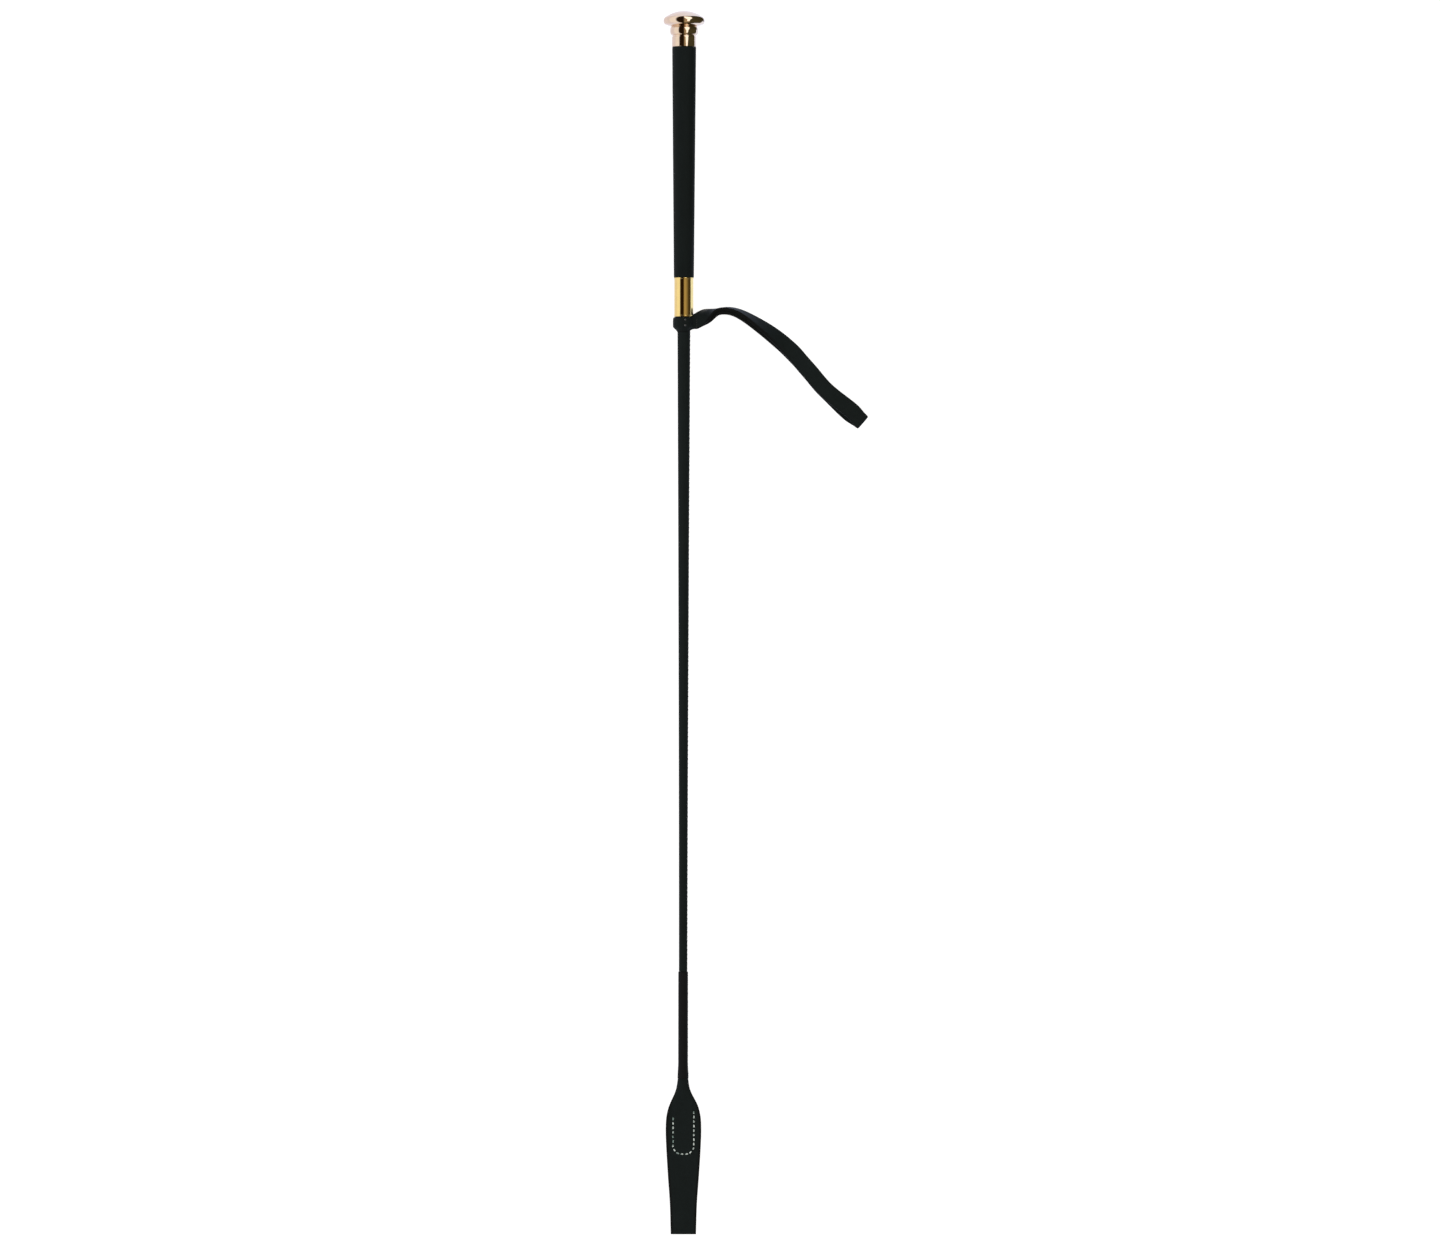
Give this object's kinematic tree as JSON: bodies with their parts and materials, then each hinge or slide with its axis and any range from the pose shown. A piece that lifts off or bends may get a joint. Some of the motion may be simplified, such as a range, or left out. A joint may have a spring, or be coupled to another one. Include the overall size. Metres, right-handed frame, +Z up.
{
  "type": "riding crop",
  "caption": "Slim riding crop with a mushroom cap, leather handle, gilt ferrule, doubled wrist strap and a flat sewn leather keeper.",
  "frame": {"origin": "centre of the bounding box's bottom face, on the table that the crop lies on", "axes": "+Y along the rod towards the head, +X towards the side where the wrist strap lies, +Z up from the table"},
  "size_m": [0.111, 0.66, 0.0224],
  "materials": {
    "champagne_gold": "polished, pale champagne gilt",
    "yellow_gold": "polished, yellow gilt",
    "steel": "plain",
    "beech": "turned, bare",
    "fibreglass": "pultruded rod",
    "handle_leather": "fine grain, low sheen",
    "shaft_leather": "fine grain, low sheen",
    "strap_leather": "smooth, low sheen",
    "keeper_leather": "smooth, painted edges",
    "undyed_leather": "undyed",
    "black_thread": "waxed thread",
    "white_thread": "off-white thread"
  },
  "bodies": {
    "crop": {"head_cap": "champagne_gold", "cap_shank": "steel", "handle_former": "beech", "handle_cover": "handle_leather", "handle_seam_thread": "black_thread", "ferrule": "yellow_gold", "shaft_core": "fibreglass", "shaft_cover": "shaft_leather", "shaft_seam_thread": "black_thread", "strap_collar": "strap_leather", "strap_root_thread": "black_thread", "strap_tack_upper": "steel", "strap_tack_lower": "steel", "tip_wrap": "shaft_leather", "tip_wrap_thread": "black_thread"},
    "strap_root": {"strap_root_outer": "strap_leather", "strap_root_inner": "strap_leather"},
    "strap_loop": {"wrist_strap_loop": "strap_leather"},
    "keeper": {"keeper_front_leaf": "keeper_leather", "keeper_back_leaf": "keeper_leather", "keeper_tongue": "undyed_leather", "keeper_stitching": "white_thread"},
    "keeper_flap": {"keeper_front_flap": "keeper_leather", "keeper_back_flap": "keeper_leather"}
  },
  "joints": [
    {"name": "strap_swing", "type": "hinge", "parent": "crop", "child": "strap_root", "pos_m": [-0.03577, 0.16391, 0.0089], "axis": [0.4809, -0.8768, 0], "range_deg": [-60, 80]},
    {"name": "strap_bend", "type": "hinge", "parent": "strap_root", "child": "strap_loop", "pos_m": [-0.02216, 0.1688, 0.00456], "axis": [0, 0, 1], "range_deg": [-50, 75]},
    {"name": "keeper_neck_bend", "type": "hinge", "parent": "crop", "child": "keeper", "pos_m": [-0.04429, -0.24757, 0.003], "axis": [-1, 0, 0], "range_deg": [-50, 50], "stiffness_Nm_per_rad": 0.02},
    {"name": "keeper_flap_bend", "type": "hinge", "parent": "keeper", "child": "keeper_flap", "pos_m": [-0.04429, -0.29197, 0.00155], "axis": [-1, 0, 0], "range_deg": [-60, 60], "stiffness_Nm_per_rad": 0.01}
  ]
}
